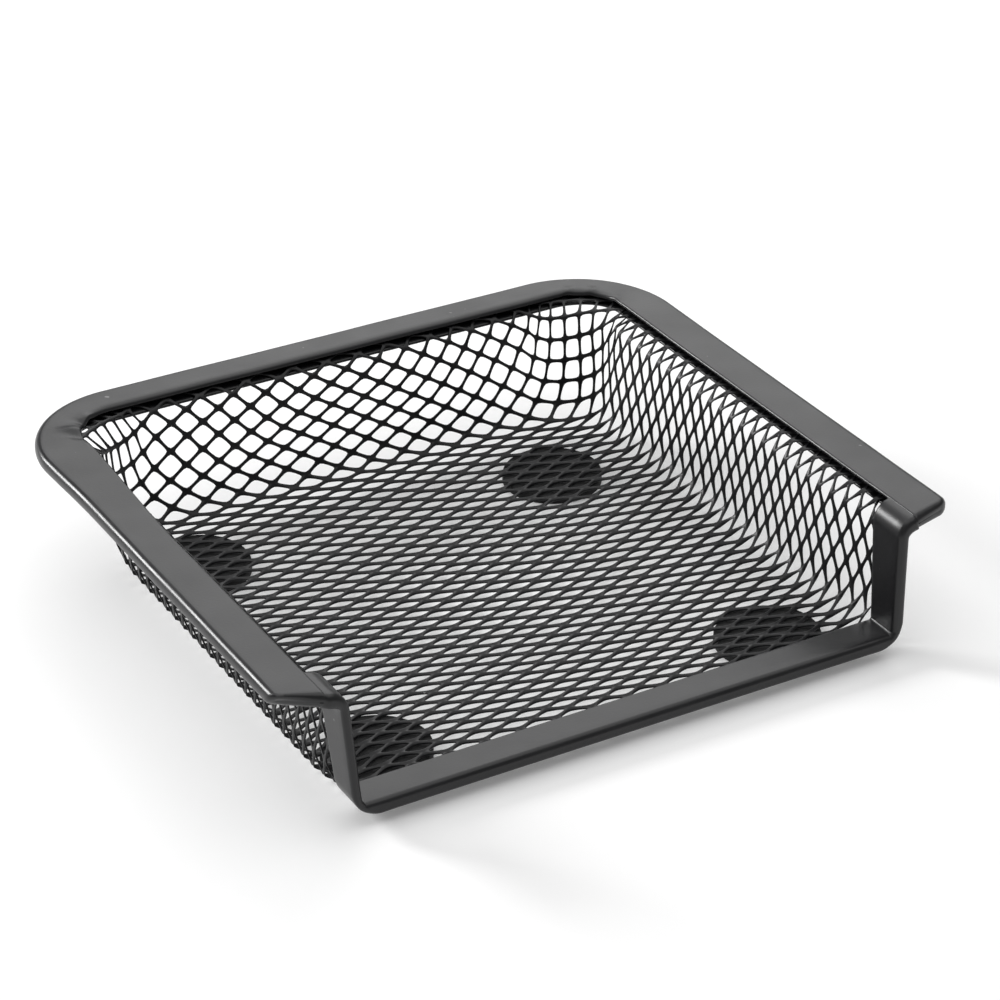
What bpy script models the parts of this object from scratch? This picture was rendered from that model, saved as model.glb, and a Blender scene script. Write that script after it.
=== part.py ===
"""Mesh note tray with an open front: a basket drawn from expanded metal, its edges gripped in a folded
rim on three sides and in a folded channel along the front, on four stick-on foot pads.

Metres, +Z up. The tray stands on z = 0, centred on x = y = 0, with its open front towards -Y.
"""

import math

import bmesh
import bpy
from mathutils import Matrix, Vector

OBJECT_NAME = "mesh_note_tray"

# Overall sizes.
WIDTH = 0.110  # across the rim
DEPTH = 0.0968  # from the foot of the front channel to the back of the rim
HEIGHT = 0.02185  # from the foot pads' undersides to the top of the rim

# Material thicknesses and the clearance between pieces that touch.
STRIP = 0.0005  # folded steel strip of the rim and the channel
STRAND = 0.0008  # strand of the expanded metal, across and through
GAP = 0.0003

# Basket, measured at the middle of its sheet.
RIM_OVERHANG = 0.01105  # side wall at floor level to the rim's outer edge
BACK_OVERHANG = 0.0086  # the same, at the back wall
WALL_DRAFT = math.radians(3.8)
FLOOR_BEND = 0.0035
BRIM_BEND = 0.003
FLOOR_CORNER = 0.0065  # plan radius of the flat floor's back corners
DIAMOND_LONG = 0.0101  # strand crossing to strand crossing, across the tray
DIAMOND_SHORT = 0.0053  # the same, front to back
BACK_STRETCH = 0.25  # how much drawing opens the diamonds on the back wall
CORNER_STRETCH = 0.6  # how much more it opens them round the back corners

# Rim.
RIM_TOP_LEG = 0.0072
RIM_BOTTOM_LEG = 0.0046
RIM_EDGE = 0.0011  # rounding of the fold
RIM_CORNER = 0.017  # outer plan radius at the back
RIM_INNER_CORNER = 0.0075  # plan radius of the inner edge at the back
RIM_NOSE = 0.0018  # outer plan radius at the front ends
NOSE_WIDE = 0.0046  # slanting cut across each front end, inwards from the outer edge
NOSE_CUT = 0.0040  # how far that cut goes back at the outer edge
RIM_SETBACK = 0.0014  # front ends behind the channel's foot

# Front channel.
CHANNEL_FLOOR_LEG = 0.0056
CHANNEL_BRIM_LEG = 0.0070
CHANNEL_LEAN = 0.0015  # how far the top leans back
CHANNEL_BEND = 0.002  # outward bend at the top, at mid thickness
CHANNEL_EDGE = 0.0008  # rounding of the fold
CHANNEL_LAP = 0.0026  # how far the ends tuck under the rim

# Foot pads. They are stuck on by hand, so each has its own place: in from the side wall, and back from the
# front edge or forward from the back wall.
FOOT_DIAMETER = 0.016
FOOT_THICK = 0.002
FOOT_EDGE = 0.0004
FRONT_LEFT_IN = 0.0100
FRONT_LEFT_BACK = 0.0150
FRONT_RIGHT_IN = 0.0137
FRONT_RIGHT_BACK = 0.0128
BACK_LEFT_IN = 0.0104
BACK_LEFT_FORWARD = 0.01475
BACK_RIGHT_IN = 0.0160
BACK_RIGHT_FORWARD = 0.01685

# Facets.
CORNER_STEPS = 10
BEND_STEPS = 6
EDGE_STEPS = 3
FOOT_SIDES = 40
CHANNEL_SAG = 0.00015  # how far a strand may leave the form inside the channel
OPEN_SAG = 0.0005  # the same, behind the channel
CUT_MARGIN = 0.002  # how far a cutter runs past what it cuts

# Sizes that follow from those above.
FRONT = -DEPTH / 2
BACK = DEPTH / 2
SLOT = STRAND + 2 * GAP
FOLD = SLOT + 2 * STRIP
FLOOR_Z = FOOT_THICK + GAP + STRAND / 2
BRIM_Z = HEIGHT - FOLD / 2
CHANNEL_BRIM_Z = HEIGHT - STRIP - GAP - FOLD / 2
CHANNEL_FOOT_Z = FLOOR_Z - FOLD / 2
WALL_X = WIDTH / 2 - RIM_OVERHANG
WALL_BACK = BACK - BACK_OVERHANG
FLAT_X = WALL_X - FLOOR_BEND
FLAT_BACK = WALL_BACK - FLOOR_BEND
WALL_ANGLE = math.pi / 2 - WALL_DRAFT
CHANNEL_END = WIDTH / 2 - RIM_TOP_LEG + CHANNEL_LAP
SHEET_INSET = STRIP + GAP + STRAND / 2  # the sheet's edge inside the folds
SHEET_FRONT = FRONT + SHEET_INSET
FEET = {
    "foot_front_left": (FRONT_LEFT_IN - WALL_X, FRONT + FRONT_LEFT_BACK),
    "foot_front_right": (WALL_X - FRONT_RIGHT_IN, FRONT + FRONT_RIGHT_BACK),
    "foot_back_left": (BACK_LEFT_IN - WALL_X, WALL_BACK - BACK_LEFT_FORWARD),
    "foot_back_right": (WALL_X - BACK_RIGHT_IN, WALL_BACK - BACK_RIGHT_FORWARD),
}


def clear_scene():
    for obj in list(bpy.data.objects):
        bpy.data.objects.remove(obj, do_unlink=True)


def new_collection(name):
    collection = bpy.data.collections.new(name)
    bpy.context.scene.collection.children.link(collection)
    return collection


def new_material(name, colour, roughness, metallic):
    material = bpy.data.materials.new(name)
    material.use_nodes = True
    shader = material.node_tree.nodes["Principled BSDF"]
    shader.inputs["Base Color"].default_value = (*colour, 1.0)
    shader.inputs["Roughness"].default_value = roughness
    shader.inputs["Metallic"].default_value = metallic
    return material


def new_object(name, bm, collection, material=None):
    """The bmesh as an object; without a material it is a cutter, which isn't rendered."""
    mesh = bpy.data.meshes.new(name)
    bmesh.ops.recalc_face_normals(bm, faces=bm.faces)
    bm.to_mesh(mesh)
    bm.free()
    mesh.shade_smooth()
    mesh.set_sharp_from_angle(angle=math.radians(35))
    obj = bpy.data.objects.new(name, mesh)
    collection.objects.link(obj)
    if material:
        mesh.materials.append(material)
    else:
        obj.hide_render = True
        obj.display_type = "WIRE"
    return obj


def cut(obj, cutter, solver="EXACT"):
    boolean = obj.modifiers.new("cut_" + cutter.name, "BOOLEAN")
    boolean.operation = "DIFFERENCE"
    boolean.solver = solver
    boolean.object = cutter


def arc(centre, radius, start, end, steps):
    """Points on a circle from one angle to another, both ends included."""
    angles = [start + (end - start) * i / steps for i in range(steps + 1)]
    return [(centre[0] + radius * math.cos(a), centre[1] + radius * math.sin(a)) for a in angles]


def prism(points, direction):
    """A closed bmesh: the flat outline in points, swept along direction."""
    bm = bmesh.new()
    face = bm.faces.new([bm.verts.new(p) for p in points])
    swept = bmesh.ops.extrude_face_region(bm, geom=[face], use_keep_orig=True)
    moved = [item for item in swept["geom"] if isinstance(item, bmesh.types.BMVert)]
    bmesh.ops.translate(bm, verts=moved, vec=direction)
    bmesh.ops.recalc_face_normals(bm, faces=bm.faces)
    return bm


def box(low, high):
    """A closed bmesh: the box between two corners."""
    bm = bmesh.new()
    bmesh.ops.create_cube(bm, size=1.0)
    size = Vector(high) - Vector(low)
    place = Matrix.Translation((Vector(low) + Vector(high)) / 2)
    bmesh.ops.transform(bm, matrix=place @ Matrix.Diagonal((*size, 1.0)), verts=bm.verts)
    return bm


def nose_outline(inset, front):
    """Right front end of the rim, inset from its edges: the start of the slanting cut, then a round tip."""
    slant = math.atan2(NOSE_CUT, NOSE_WIDE)
    radius = RIM_NOSE - inset

    def cut_y(x, inside):
        """Where a line lies at x, if it runs along the slanting cut at a distance inside it."""
        return front - inset + (x - WIDTH / 2 + NOSE_WIDE) * math.tan(slant) + inside / math.cos(slant)

    start_x = WIDTH / 2 - NOSE_WIDE + inset * (1 - 1 / math.cos(slant)) / math.tan(slant)
    tip_x = WIDTH / 2 - RIM_NOSE
    tip = arc((tip_x, cut_y(tip_x, RIM_NOSE)), radius, slant - math.pi / 2, 0.0, BEND_STEPS)
    return [(start_x, front)] + tip


def tray_outline(inset, back_radius, front, has_nose):
    """Plan of the rim, inset from its outer edge, anticlockwise from the front right corner."""
    x = WIDTH / 2 - inset
    back = BACK - inset
    right_back = arc((x - back_radius, back - back_radius), back_radius, 0.0, math.pi / 2, CORNER_STEPS)
    right = (nose_outline(inset, front) if has_nose else [(x, front)]) + right_back
    return right + [(-px, py) for px, py in reversed(right)]


def plate(outline, low, high):
    return prism([(x, y, low) for x, y in outline], (0.0, 0.0, high - low))


def make_rim(parts, cutters, material):
    """C-shaped strip, open inwards, with a closed nose at each front end."""
    front = FRONT + RIM_SETBACK
    low = HEIGHT - FOLD
    bm = plate(tray_outline(0.0, RIM_CORNER, front, True), low, HEIGHT)
    fold = [e for e in bm.edges if abs(e.verts[0].co.z - e.verts[1].co.z) < GAP]
    bmesh.ops.bevel(bm, geom=fold, offset=RIM_EDGE, segments=EDGE_STEPS, profile=0.5, affect="EDGES")
    rim = new_object("rim", bm, parts, material)

    past_front = front - CUT_MARGIN
    window = tray_outline(RIM_TOP_LEG, RIM_INNER_CORNER, past_front, False)
    cut(rim, new_object("rim_window", plate(window, low - CUT_MARGIN, HEIGHT + CUT_MARGIN), cutters))
    under = tray_outline(RIM_BOTTOM_LEG, RIM_INNER_CORNER + RIM_TOP_LEG - RIM_BOTTOM_LEG, past_front, False)
    cut(rim, new_object("rim_under_window", plate(under, low - CUT_MARGIN, BRIM_Z), cutters))
    hollow = tray_outline(STRIP, RIM_CORNER - STRIP, front + STRIP, True)
    cut(rim, new_object("rim_hollow", plate(hollow, BRIM_Z - SLOT / 2, BRIM_Z + SLOT / 2), cutters))

    # A notch under each front end takes the channel's end.
    notch_in = WIDTH / 2 - RIM_TOP_LEG - CUT_MARGIN
    notch_out = CHANNEL_END + GAP
    notch_back = FRONT + CHANNEL_LEAN + CHANNEL_BRIM_LEG + GAP
    for side, sign in (("left", -1), ("right", 1)):
        xs = sorted((sign * notch_in, sign * notch_out))
        notch = box((xs[0], past_front, low - CUT_MARGIN), (xs[1], notch_back, HEIGHT - STRIP))
        cut(rim, new_object("rim_notch_" + side, notch, cutters))
    return rim


def channel_half(offset, end):
    """Right half of the channel's front view, from the middle of the floor to the tip under the rim.

    offset moves it from mid thickness, outwards where positive.
    """
    bend_centre = (FLAT_X, FLOOR_Z + FLOOR_BEND)
    lower = arc(bend_centre, FLOOR_BEND + offset, -math.pi / 2, WALL_ANGLE - math.pi / 2, BEND_STEPS)
    wall_top = CHANNEL_BRIM_Z - CHANNEL_BEND * (1 - math.cos(WALL_ANGLE))
    wall_foot = FLOOR_Z + FLOOR_BEND * (1 - math.cos(WALL_ANGLE))
    wall_x = FLAT_X + FLOOR_BEND * math.sin(WALL_ANGLE) + (wall_top - wall_foot) / math.tan(WALL_ANGLE)
    brim_centre = (wall_x + CHANNEL_BEND * math.sin(WALL_ANGLE), CHANNEL_BRIM_Z - CHANNEL_BEND)
    upper = arc(brim_centre, CHANNEL_BEND - offset, WALL_ANGLE + math.pi / 2, math.pi / 2, BEND_STEPS)
    return lower + upper + [(end, CHANNEL_BRIM_Z - offset)]


def channel_band(half_thick, end, front_inset, depth):
    """The channel's front view as a band, swept back from the leaning front by depth."""
    outer = channel_half(half_thick, end)
    inner = channel_half(-half_thick, end)
    left_outer = [(-x, z) for x, z in reversed(outer)]
    left_inner = [(-x, z) for x, z in inner]
    outline = left_outer + outer + inner[::-1] + left_inner
    return prism([(x, front_inset, z) for x, z in outline], (0.0, depth, 0.0))


def lean_back(bm, deepen):
    """Leans the channel back with height and, where deepen is set, lengthens its legs with it."""
    tall = CHANNEL_BRIM_Z - CHANNEL_FOOT_Z
    for vert in bm.verts:
        up = (vert.co.z - CHANNEL_FOOT_Z) / tall
        if deepen and vert.co.y > CHANNEL_FLOOR_LEG / 2:
            vert.co.y += (CHANNEL_BRIM_LEG - CHANNEL_FLOOR_LEG) * up
        vert.co.y += FRONT + CHANNEL_LEAN * up


def make_channel(parts, cutters, material):
    """U-shaped strip, open towards the back, bent round the front of floor and walls."""
    bm = channel_band(FOLD / 2, CHANNEL_END, 0.0, CHANNEL_FLOOR_LEG)
    fold = [e for e in bm.edges if max(abs(v.co.y) for v in e.verts) < GAP]
    bmesh.ops.bevel(bm, geom=fold, offset=CHANNEL_EDGE, segments=EDGE_STEPS, profile=0.5, affect="EDGES")
    lean_back(bm, deepen=True)
    channel = new_object("front_channel", bm, parts, material)

    slot = channel_band(SLOT / 2, CHANNEL_END + CUT_MARGIN, STRIP, CHANNEL_BRIM_LEG + CUT_MARGIN)
    lean_back(slot, deepen=False)
    cut(channel, new_object("channel_slot", slot, cutters))
    return channel


def form_profile(run):
    """(out, up, slope) on the basket's wall, run along the sheet past the edge of the flat floor."""
    brim_up = BRIM_Z - FLOOR_Z
    turned = 1 - math.cos(WALL_ANGLE)
    wall_run = (brim_up - (FLOOR_BEND + BRIM_BEND) * turned) / math.sin(WALL_ANGLE)
    if run < FLOOR_BEND * WALL_ANGLE:
        slope = run / FLOOR_BEND
        return FLOOR_BEND * math.sin(slope), FLOOR_BEND * (1 - math.cos(slope)), slope
    run -= FLOOR_BEND * WALL_ANGLE
    out = FLOOR_BEND * math.sin(WALL_ANGLE)
    if run < wall_run:
        up = FLOOR_BEND * turned + run * math.sin(WALL_ANGLE)
        return out + run * math.cos(WALL_ANGLE), up, WALL_ANGLE
    run -= wall_run
    out += wall_run * math.cos(WALL_ANGLE)
    if run < BRIM_BEND * WALL_ANGLE:
        slope = WALL_ANGLE - run / BRIM_BEND
        up = brim_up - BRIM_BEND * (1 - math.cos(slope))
        return out + BRIM_BEND * (math.sin(WALL_ANGLE) - math.sin(slope)), up, slope
    run -= BRIM_BEND * WALL_ANGLE
    return out + BRIM_BEND * math.sin(WALL_ANGLE) + run, brim_up, 0.0


def sheet_run(toward):
    """How far the sheet runs past the flat floor, in one direction, to reach its edge inside the rim."""
    overhang = RIM_OVERHANG + (BACK_OVERHANG - RIM_OVERHANG) * toward.y**2
    far = DEPTH
    return far - (form_profile(far)[0] - (FLOOR_BEND + overhang - SHEET_INSET))


def stretch(toward):
    """How much drawing lengthens the sheet in one direction from the floor's core."""
    corner = 2 * toward.x * toward.y
    return 1 + BACK_STRETCH * toward.y**2 + CORNER_STRETCH * corner**2


def bearings(flat):
    """A flat point seen from the floor's core: the core's nearest point, direction and distance."""
    core_x = FLAT_X - FLOOR_CORNER
    core_y = FLAT_BACK - FLOOR_CORNER
    core = Vector((max(-core_x, min(flat.x, core_x)), min(flat.y, core_y)))
    toward = flat.xy - core
    return core, toward.normalized(), toward.length


def drawn(flat):
    """Where a point of the flat sheet comes to lie in the basket; its height stays square to the sheet."""
    core, toward, reach = bearings(flat)
    if reach <= FLOOR_CORNER:
        return Vector((flat.x, flat.y, FLOOR_Z + flat.z))
    out, up, slope = form_profile((reach - FLOOR_CORNER) * stretch(toward))
    out -= flat.z * math.sin(slope)
    up += flat.z * math.cos(slope)
    place = core + toward * (FLOOR_CORNER + out)
    lean = CHANNEL_LEAN * up / (CHANNEL_BRIM_Z - CHANNEL_FOOT_Z)
    fade = max(0.0, (FLAT_BACK - flat.y) / (FLAT_BACK - SHEET_FRONT))
    return Vector((place.x, place.y + lean * fade, FLOOR_Z + up))


def edge_reach(toward):
    """Distance from the floor's core at which the flat sheet ends, in one direction."""
    return FLOOR_CORNER + (sheet_run(toward) + STRAND / 2) / stretch(toward) - STRAND / 2


def diamond_sheet(columns, rows):
    """Flat sheet of diamonds in half-pitch units, cut square through the crossings, front on y = 0."""
    bm = bmesh.new()
    count = 2 * (columns + rows)
    bmesh.ops.create_grid(bm, x_segments=count, y_segments=count, size=count / 2)
    turn = Matrix.Rotation(math.pi / 4, 4, "Z")
    half_pitch = Matrix.Scale(math.sqrt(2), 4)
    middle = Matrix.Translation((0.0, 2 * (rows // 4), 0.0))
    bmesh.ops.transform(bm, matrix=middle @ half_pitch @ turn, verts=bm.verts)
    edges = (((columns, 0, 0), (1, 0, 0)), ((-columns, 0, 0), (-1, 0, 0)),
             ((0, rows, 0), (0, 1, 0)), ((0, 0, 0), (0, -1, 0)))
    for point, outward in edges:
        whole = bm.verts[:] + bm.edges[:] + bm.faces[:]
        bmesh.ops.bisect_plane(bm, geom=whole, dist=0.01, plane_co=point, plane_no=outward, clear_outer=True)
    return bm


def trim_corners(bm):
    """Drops the diamonds past the sheet's rounded back corners and pulls the rest in to its edge."""
    def past_edge(point):
        _, toward, reach = bearings(point)
        return reach - edge_reach(toward)

    outside = [face for face in bm.faces if past_edge(face.calc_center_median()) > 0.0]
    bmesh.ops.delete(bm, geom=outside, context="FACES")
    for vert in bm.verts:
        if past_edge(vert.co) > 0.0:
            core, toward, _ = bearings(vert.co)
            vert.co.xy = core + toward * edge_reach(toward)


def sag(strand):
    """How far the middle of a straight strand would leave the form, beside what is allowed there."""
    start, end = (vert.co for vert in strand.verts)
    middle = (start + end) / 2
    allowed = CHANNEL_SAG if middle.y < SHEET_FRONT + CHANNEL_BRIM_LEG else OPEN_SAG
    return (drawn(middle) - (drawn(start) + drawn(end)) / 2).length / allowed


def split_strands(bm):
    """Splits the strands that would cut a bend's corner, each on all its sides at once."""
    while True:
        found = [edge for edge in bm.edges if sag(edge) > 1.0]
        if not found:
            return
        rings = set(found)
        while found:
            edge = found.pop()
            for loop in edge.link_loops:
                facing = loop.link_loop_next.link_loop_next.edge
                if len(loop.face.verts) == 4 and facing not in rings:
                    rings.add(facing)
                    found.append(facing)
        bmesh.ops.subdivide_edges(bm, edges=list(rings), cuts=1)


def make_basket(parts, cutters, material):
    """Expanded metal drawn into a tray: diamonds get strands in the flat, then are laid over the form."""
    half_width = FLAT_X - FLOOR_CORNER + edge_reach(Vector((1.0, 0.0)))
    length = FLAT_BACK - FLOOR_CORNER - SHEET_FRONT + edge_reach(Vector((0.0, 1.0)))
    columns = round(half_width / (DIAMOND_LONG / 2))
    rows = round(length / (DIAMOND_SHORT / 2))
    bm = diamond_sheet(columns, rows)
    full_size = Matrix.Diagonal((half_width / columns, length / rows, 1.0, 1.0))
    bmesh.ops.transform(bm, matrix=Matrix.Translation((0.0, SHEET_FRONT, 0.0)) @ full_size, verts=bm.verts)
    trim_corners(bm)
    bmesh.ops.wireframe(
        bm, faces=bm.faces[:], thickness=STRAND, use_replace=True, use_boundary=True, use_even_offset=True
    )
    split_strands(bm)
    for vert in bm.verts:
        vert.co = drawn(vert.co)
    basket = new_object("basket", bm, parts, material)

    # The sheet's brim stops behind the channel, whose own brim lies lower to pass under the rim.
    behind = FRONT + CHANNEL_LEAN + CHANNEL_BRIM_LEG + GAP
    wall_head = CHANNEL_BRIM_Z - CHANNEL_BEND - FOLD / 2
    for side, sign in (("left", -1), ("right", 1)):
        xs = sorted((sign * FLAT_X, sign * WIDTH / 2))
        relief = box((xs[0], FRONT, wall_head), (xs[1], behind, HEIGHT))
        cut(basket, new_object("brim_relief_" + side, relief, cutters), solver="MANIFOLD")
    return basket


def make_foot(name, parts, seat, material):
    """Round pad under the floor, with softened edges, pressed thinner where it reaches under the channel."""
    bm = bmesh.new()
    radius = FOOT_DIAMETER / 2
    bmesh.ops.create_cone(
        bm, cap_ends=True, segments=FOOT_SIDES, radius1=radius, radius2=radius, depth=FOOT_THICK
    )
    rounds = [e for e in bm.edges if abs(e.verts[0].co.z - e.verts[1].co.z) < GAP]
    bmesh.ops.bevel(bm, geom=rounds, offset=FOOT_EDGE, segments=2, profile=0.5, affect="EDGES")
    foot = new_object(name, bm, parts, material)
    foot.location = (*FEET[name], FOOT_THICK / 2)
    cut(foot, seat)
    return foot


def main():
    clear_scene()
    parts = new_collection(OBJECT_NAME)
    cutters = new_collection("cutters")
    cutters.hide_render = True
    coat = new_material("black_powder_coat", (0.02, 0.02, 0.021), 0.45, 0.0)
    mesh_coat = new_material("black_mesh_coat", (0.014, 0.014, 0.015), 0.5, 0.0)
    pad = new_material("black_pad", (0.012, 0.012, 0.012), 0.85, 0.0)
    make_basket(parts, cutters, mesh_coat)
    make_rim(parts, cutters, coat)
    make_channel(parts, cutters, coat)
    under = FRONT + CHANNEL_FLOOR_LEG + GAP
    seat = box((-WIDTH, FRONT - CUT_MARGIN, CHANNEL_FOOT_Z - GAP), (WIDTH, under, HEIGHT))
    foot_seat = new_object("foot_seat", seat, cutters)
    for name in FEET:
        make_foot(name, parts, foot_seat, pad)


main()
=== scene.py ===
"""Looks of the mesh note tray: the drawn mesh at its true pitch, the folded rim and front channel, the foot
pads, their materials, a white floor, soft light and the photograph's camera.

The pieces are worked out in millimetres in the part's frame, and become metres when their meshes are made.
A pair for smooth_step goes from where an effect starts to where it is whole, or gone.
"""

import math

import bmesh
import bpy
import numpy as np
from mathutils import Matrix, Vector, noise


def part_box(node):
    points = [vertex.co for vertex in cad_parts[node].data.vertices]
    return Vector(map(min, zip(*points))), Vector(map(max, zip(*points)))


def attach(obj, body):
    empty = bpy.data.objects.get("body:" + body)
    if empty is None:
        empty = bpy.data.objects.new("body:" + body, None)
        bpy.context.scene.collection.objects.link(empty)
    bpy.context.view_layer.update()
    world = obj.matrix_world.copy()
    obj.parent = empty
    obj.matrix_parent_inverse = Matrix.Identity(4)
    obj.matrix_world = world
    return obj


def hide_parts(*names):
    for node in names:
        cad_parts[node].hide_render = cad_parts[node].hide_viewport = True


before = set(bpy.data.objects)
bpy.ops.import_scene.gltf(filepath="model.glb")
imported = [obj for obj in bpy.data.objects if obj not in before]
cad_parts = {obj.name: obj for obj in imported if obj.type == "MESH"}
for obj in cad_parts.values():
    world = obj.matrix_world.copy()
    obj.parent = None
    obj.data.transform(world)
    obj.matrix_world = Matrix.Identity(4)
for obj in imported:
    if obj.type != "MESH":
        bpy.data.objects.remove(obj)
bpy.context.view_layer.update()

MM = 0.001

# Overall sizes, as in the part.
WIDTH = 110.0
DEPTH = 96.8
HEIGHT = 21.85
STRIP = 0.5  # folded steel strip
FOLD = 2.4  # the rim's fold, through both its legs
FRONT = -DEPTH / 2
BACK = DEPTH / 2

# Form that the mesh is drawn over.
FLOOR_Z = 2.63
BRIM_Z = HEIGHT - FOLD / 2
FLAT_LEFT, FLAT_RIGHT = -41.0, 40.0  # edges of the flat floor
FLAT_BACK = 36.45
FLAT_MIDDLE = (FLAT_LEFT + FLAT_RIGHT) / 2
FLAT_HALF = (FLAT_RIGHT - FLAT_LEFT) / 2
FLOOR_CORNER = 6.5
FLOOR_BEND = 3.26
BRIM_BEND = 3.0
WALL_ANGLE = math.radians(85.5)

# Edges of the sheet.
SHEET_INSET = 1.3  # from the rim's outer edge to the edge of the sheet
SHEET_FRONT = -46.6  # front edge of the floor
BEND_FRONT = -42.0  # front edge of the floor bend
WALL_FRONT = -43.2
BRIM_FRONT = -40.0
BEND_FROM, BEND_TO = 0.2, 4.5  # heights above the floor between which the bend's edge holds
BRIM_FROM = 2.0  # the brim's edge holds from this far below the brim

# How the sheet hangs in the tray.
FLOOR_SAG = 1.63  # how far the middle of the floor hangs
SAG_MIDDLE = -0.71
SAG_HALF_LENGTH = 38.3
FLOOR_TILT = 0.0038  # fall to the right, for each millimetre
TILT_EDGE = 4  # the tilt is whole where the sag reaches a quarter
LEAN = 0.0907  # how far the mesh's front leans back, for each millimetre of height
LEAN_END = 33.85
FRONT_FLARE = 1.3  # how far the right wall spreads towards its front edge
FLARE_UP = (0.0, 2.5)
FLARE_FADE = (-43.0, -28.0)
LEFT_DROP = 1.6  # how far the left wall's foot hangs below the floor
LEFT_FOOT_OUT = 0.8  # and bulges to the left
LEFT_SAG_X = (-34.0, -41.0)
LEFT_SAG_FRONT = (-48.0, -34.0)
LEFT_SAG_BACK = (26.0, 38.0)
LEFT_SAG_UP = (0.0, 12.0)

# Expanded metal.
HALF_LONG = 2.9147  # half a diamond, across the tray
HALF_SHORT = 1.5295  # half a diamond, front to back
LATTICE_TURN = math.radians(-0.63)
LATTICE_START = (-0.1157, -6.0684)
COLUMNS = 26  # crossings on each side of the middle
FIRST_ROW, ROWS_END = -29, 46
BOND_HALF_LONG = 0.34  # joint between strands, along the diamonds' long way
BOND_HALF_WIDE = 0.46
HOLE_END = 0.78  # from a crossing to the end of the hole beside it
HOLE_END_HALF = 0.11
STRAND_THICK = 0.28
STRAND_TILT = 0.60  # rise for each millimetre across a strand of the floor
WALL_TILT = 0.10  # the walls' strands are drawn flatter and narrower
WALL_STRAND = 0.98
WALL_BLEND = (0.05, 2.0)  # heights over which the floor's strands become the walls'
STRAND_LARGEST = 1.15  # strands of stretched diamonds grow up to this share

# How drawing stretched the sheet.
BACK_STRETCH = 0.177
CORNER_STRETCH = 0.182
DRAW_START = 23.68  # distance from the middle where the corners' pull starts, at the back wall's foot
DRAW_SPREAD = 1.171  # how fast that place moves inwards up the wall
DRAW_RISE = 11.17  # height at which the pull is whole
DRAW_IN, DRAW_IN_FADE, DRAW_IN_POWER = 0.00747, 42.8, 2.55
DRAW_UP, DRAW_UP_FADE, DRAW_UP_POWER = 0.0184, 14.12, 1.316
LEFT_DRAW = 0.4  # the left corner's columns lean in less

# Rim.
RIM_TOP_LEG = 7.2  # at the sides
RIM_BACK_LEG = 5.5  # at the back
RIM_BOTTOM_LEG = 7.0
RIM_BACK_BOTTOM = 6.0
RIM_EDGE = 1.1
RIM_CORNER = 17.0
RIM_INNER_CORNER = 7.5
INNER_BEVEL, INNER_BEVEL_MIDDLE = 0.32, 0.09  # rounding of the top leg's inner edge
LOWER_BEVEL = 0.15
CUT_BEVEL = 0.1  # rounding of the edges inside the fold

# Ends of the rim.
RIGHT_FRONT, LEFT_FRONT = FRONT + 1.6, FRONT + 1.9
RIGHT_NOSE, RIGHT_NOSE_CUT = 2.2, 1.7  # radius of the tip, and how far back it lies behind the inner edge
LEFT_NOSE, LEFT_NOSE_CUT = 1.2, 3.0
NOSE_LONG = 12.0  # the slant of the end fades over this length
NOSE_STEPS = (0.0, 0.04, 0.15, 0.35, 0.65, 1.1, 1.7, 2.4, 3.2, 4.0, 5.5, 7.0, 9.0, 11.0)
NOSE_WALL = 0.1  # what is left between the inner edge and the hollow in the closed tip
NOSE_LOWER_IN = 1.3  # the lower leg stays this far inside the tip
SIDE_FROM = 13.0  # the sides' even stations start this far behind the front
SIDE_TO = 20.0  # and end at this place, before the corner
BACK_HALF = 26.0  # the back's even stations end here, on both sides of the middle
RIM_STEP = 2.0

# Unevenness of the rim.
BACK_DROOP, BACK_DROOP_WIDE = 0.4, 1.4  # the back's inner edge curls down
BACK_DROOP_Y = (33.0, 42.0)
LEFT_LOWER_CUT = 2.4  # the left end's lower edge is cut further back
LEFT_CUT_X = (-48.0, -55.0)
LEFT_OUTER_IN = 0.5  # the left outer edge isn't quite straight with the right one
LEFT_IN_X = (35.0, 52.0)
LEFT_IN_FADE = (15.0, 36.0)
LEFT_BACK_WIDER = 1.2  # the left top leg widens towards the back corner
LEFT_WIDER_X = (25.0, 42.0)
LEFT_WIDER_Y = (0.0, 36.0)
RIGHT_OUTER_OUT = 0.2
RIGHT_OUT_X = (30.0, 50.0)
BACK_OUTER_OUT = 0.7
BACK_OUT_Y = (26.0, 45.0)
UNEVEN, UNEVEN_SCALE, UNEVEN_LAYER = 0.05, 0.11, 1.7
PUCKERS = (  # gathers at the inner back corners: x, y, direction, half length, half width, rise
    (-47.0, 38.9, 153.0, 2.2, 0.75, 0.34),
    (-47.2, 36.5, 139.0, 1.8, 0.75, -0.34),
    (-42.6, 41.1, 135.0, 1.7, 0.75, 0.32),
    (-44.7, 40.3, 135.0, 1.8, 0.70, -0.34),
    (45.8, 40.8, 45.0, 1.7, 0.90, 0.28),
    (42.3, 42.6, 60.0, 1.7, 0.90, 0.26),
    (47.8, 36.7, 30.0, 1.4, 0.80, 0.20),
    (44.4, 39.0, 45.0, 1.9, 0.80, -0.30),
)

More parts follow.
